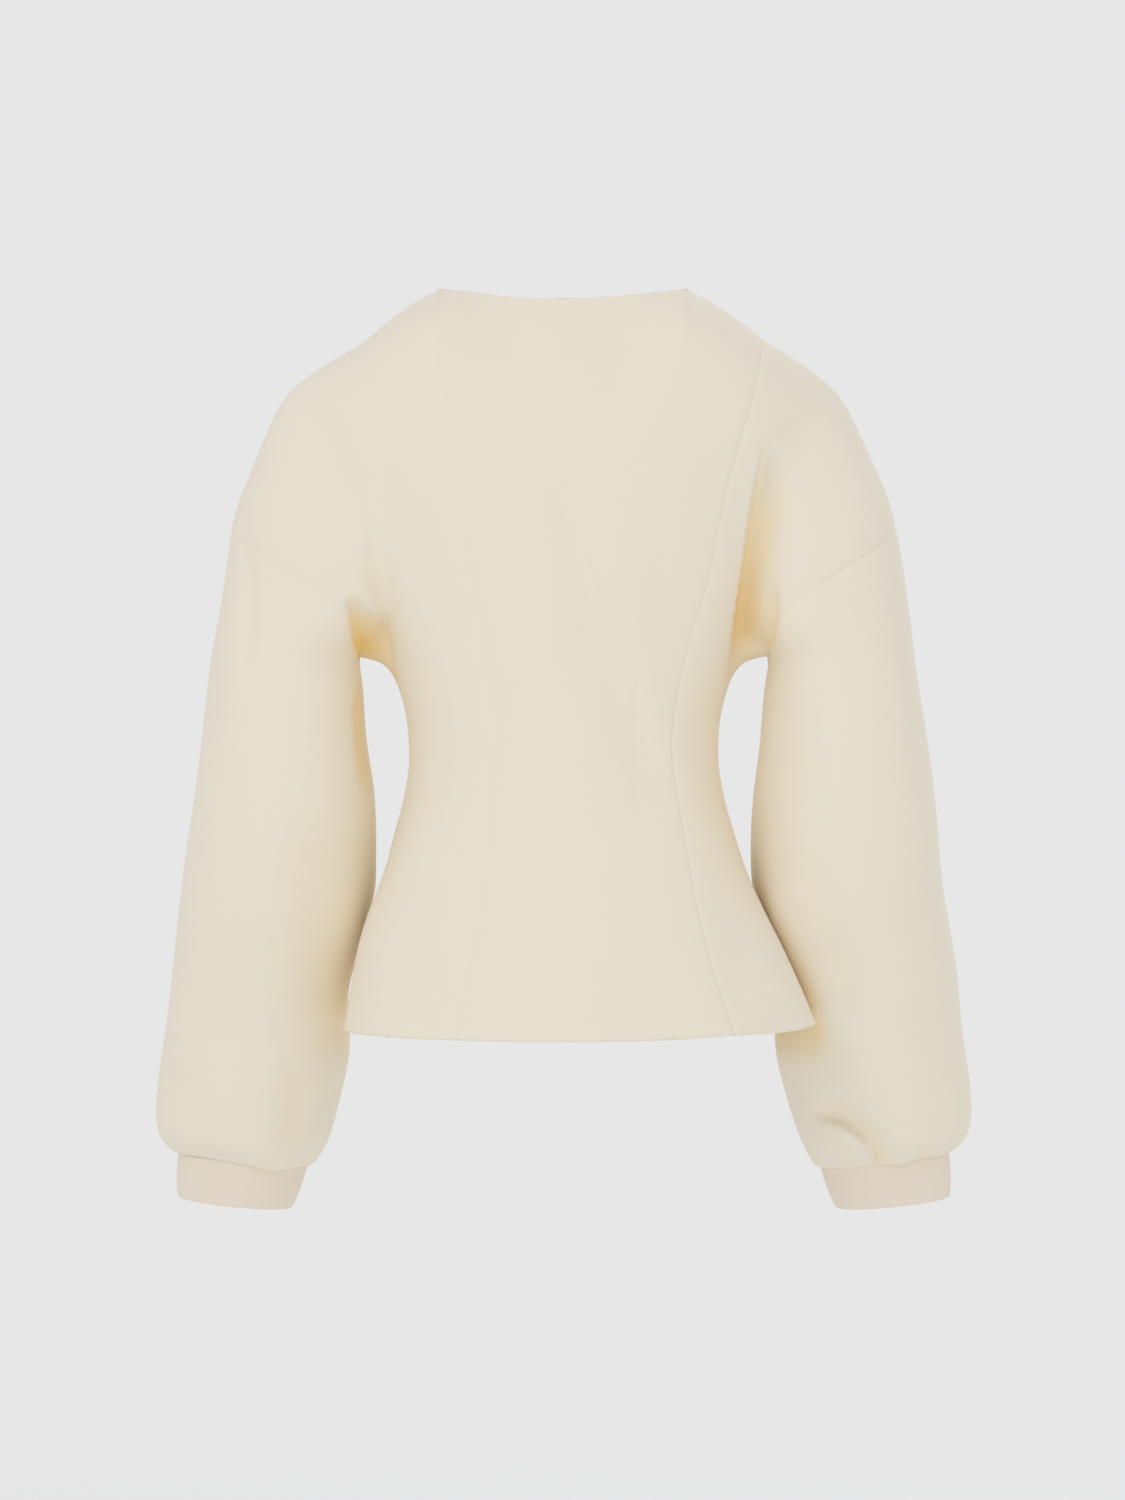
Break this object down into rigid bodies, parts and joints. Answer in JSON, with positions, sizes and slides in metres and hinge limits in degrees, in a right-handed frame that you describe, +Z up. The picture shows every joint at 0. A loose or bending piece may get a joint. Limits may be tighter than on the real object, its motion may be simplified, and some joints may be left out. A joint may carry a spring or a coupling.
{
  "type": "cropped jacket",
  "caption": "Collarless cropped jacket on a hollow worn form, with dropped shoulders, a nipped waist, a short peplum and full sleeves in plain cuffs.",
  "frame": {"origin": "midway between the two highest points of the shoulders, where the neckline meets the shoulder seams", "axes": "+Z up along the wearer's body, -Y towards the front, +X towards the wearer's left"},
  "size_m": [0.6264, 0.2734, 0.698],
  "materials": {
    "knit": "matte cream double knit",
    "cuff_knit": "matte cream double knit, folded double",
    "fastening": "bent nickel-plated wire"
  },
  "bodies": {
    "root": {"back": "knit", "side_back_left": "knit", "side_back_right": "knit", "side_front_left": "knit", "side_front_right": "knit", "front_left": "knit", "front_right": "knit", "sleeve_left": "knit", "sleeve_right": "knit", "cuff_left": "cuff_knit", "cuff_right": "cuff_knit", "hook_1": "fastening", "hook_2": "fastening", "hook_3": "fastening", "hook_4": "fastening", "eye_1": "fastening", "eye_2": "fastening", "eye_3": "fastening", "eye_4": "fastening"}
  },
  "joints": []
}
